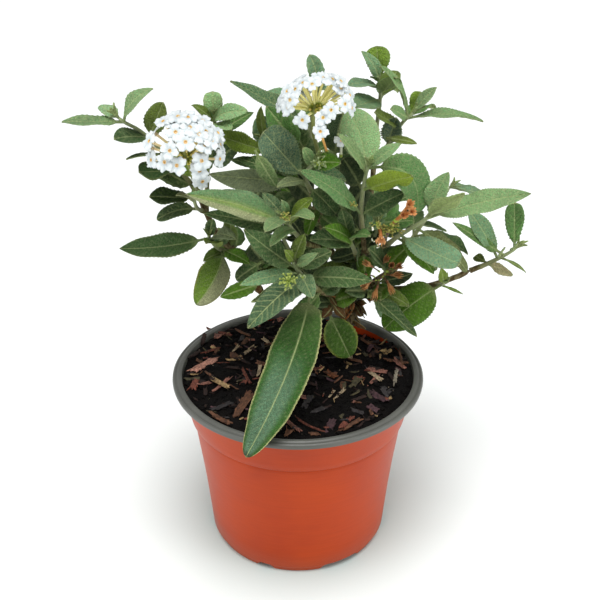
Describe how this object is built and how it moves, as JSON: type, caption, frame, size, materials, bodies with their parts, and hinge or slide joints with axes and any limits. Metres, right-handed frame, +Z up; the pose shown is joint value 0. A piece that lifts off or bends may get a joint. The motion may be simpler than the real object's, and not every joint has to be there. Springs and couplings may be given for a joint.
{
  "type": "potted butterfly bush",
  "caption": "Butterfly bush in a terracotta-coloured plastic nursery pot: leafy shoots and white flower heads on a woody framework, standing in bark-strewn soil.",
  "frame": {"origin": "centre of the bounding box, at the floor that the pot stands on", "axes": "+Z up, -Y towards the side that the picture shows, +X to the right in that view"},
  "size_m": [0.2374, 0.1808, 0.277],
  "materials": {
    "terracotta_plastic": "satin moulded plastic, terracotta orange",
    "grey_lip": "satin grey plastic",
    "potting_soil": "near-black damp crumbly peat",
    "bark_chips": "dry red-brown bark flakes",
    "woody_stem": "grey-beige peeling bark",
    "leaf_green": "dark green wrinkled leaf, with pale felt on young leaves and undersides",
    "dry_leaf": "brown dry leaf and spent floret",
    "white_petal": "soft white petal with an orange-yellow throat",
    "flower_tube": "yellow-orange floret tube and olive stalk"
  },
  "bodies": {
    "root": {"pot": "terracotta_plastic", "soil": "potting_soil", "branches": "woody_stem", "flower_left": "white_petal", "flower_top": "white_petal", "shoot_far_left": "leaf_green", "shoot_left_top": "leaf_green", "shoot_left_middle": "leaf_green", "shoot_low_left": "leaf_green", "shoot_crown": "leaf_green", "shoot_middle_back": "leaf_green", "shoot_top": "leaf_green", "shoot_top_right": "leaf_green", "shoot_far_right_top": "leaf_green", "shoot_tall": "leaf_green", "shoot_right": "leaf_green", "shoot_low_right": "leaf_green", "spur_right": "leaf_green", "spur_low_right": "leaf_green", "shoot_front": "leaf_green", "spur_low_front": "leaf_green", "shoot_rosette": "leaf_green", "shoot_inner": "leaf_green", "shoot_inner_left": "leaf_green", "shoot_middle": "leaf_green", "shoot_back_left": "leaf_green", "shoot_back_middle": "leaf_green", "shoot_back_right": "leaf_green", "shoot_back_far_right": "leaf_green", "shoot_back_low": "leaf_green", "dry_leaves": "dry_leaf", "dry_leaves_left": "dry_leaf", "spent_flowers": "dry_leaf", "dry_cluster": "dry_leaf"}
  },
  "joints": []
}
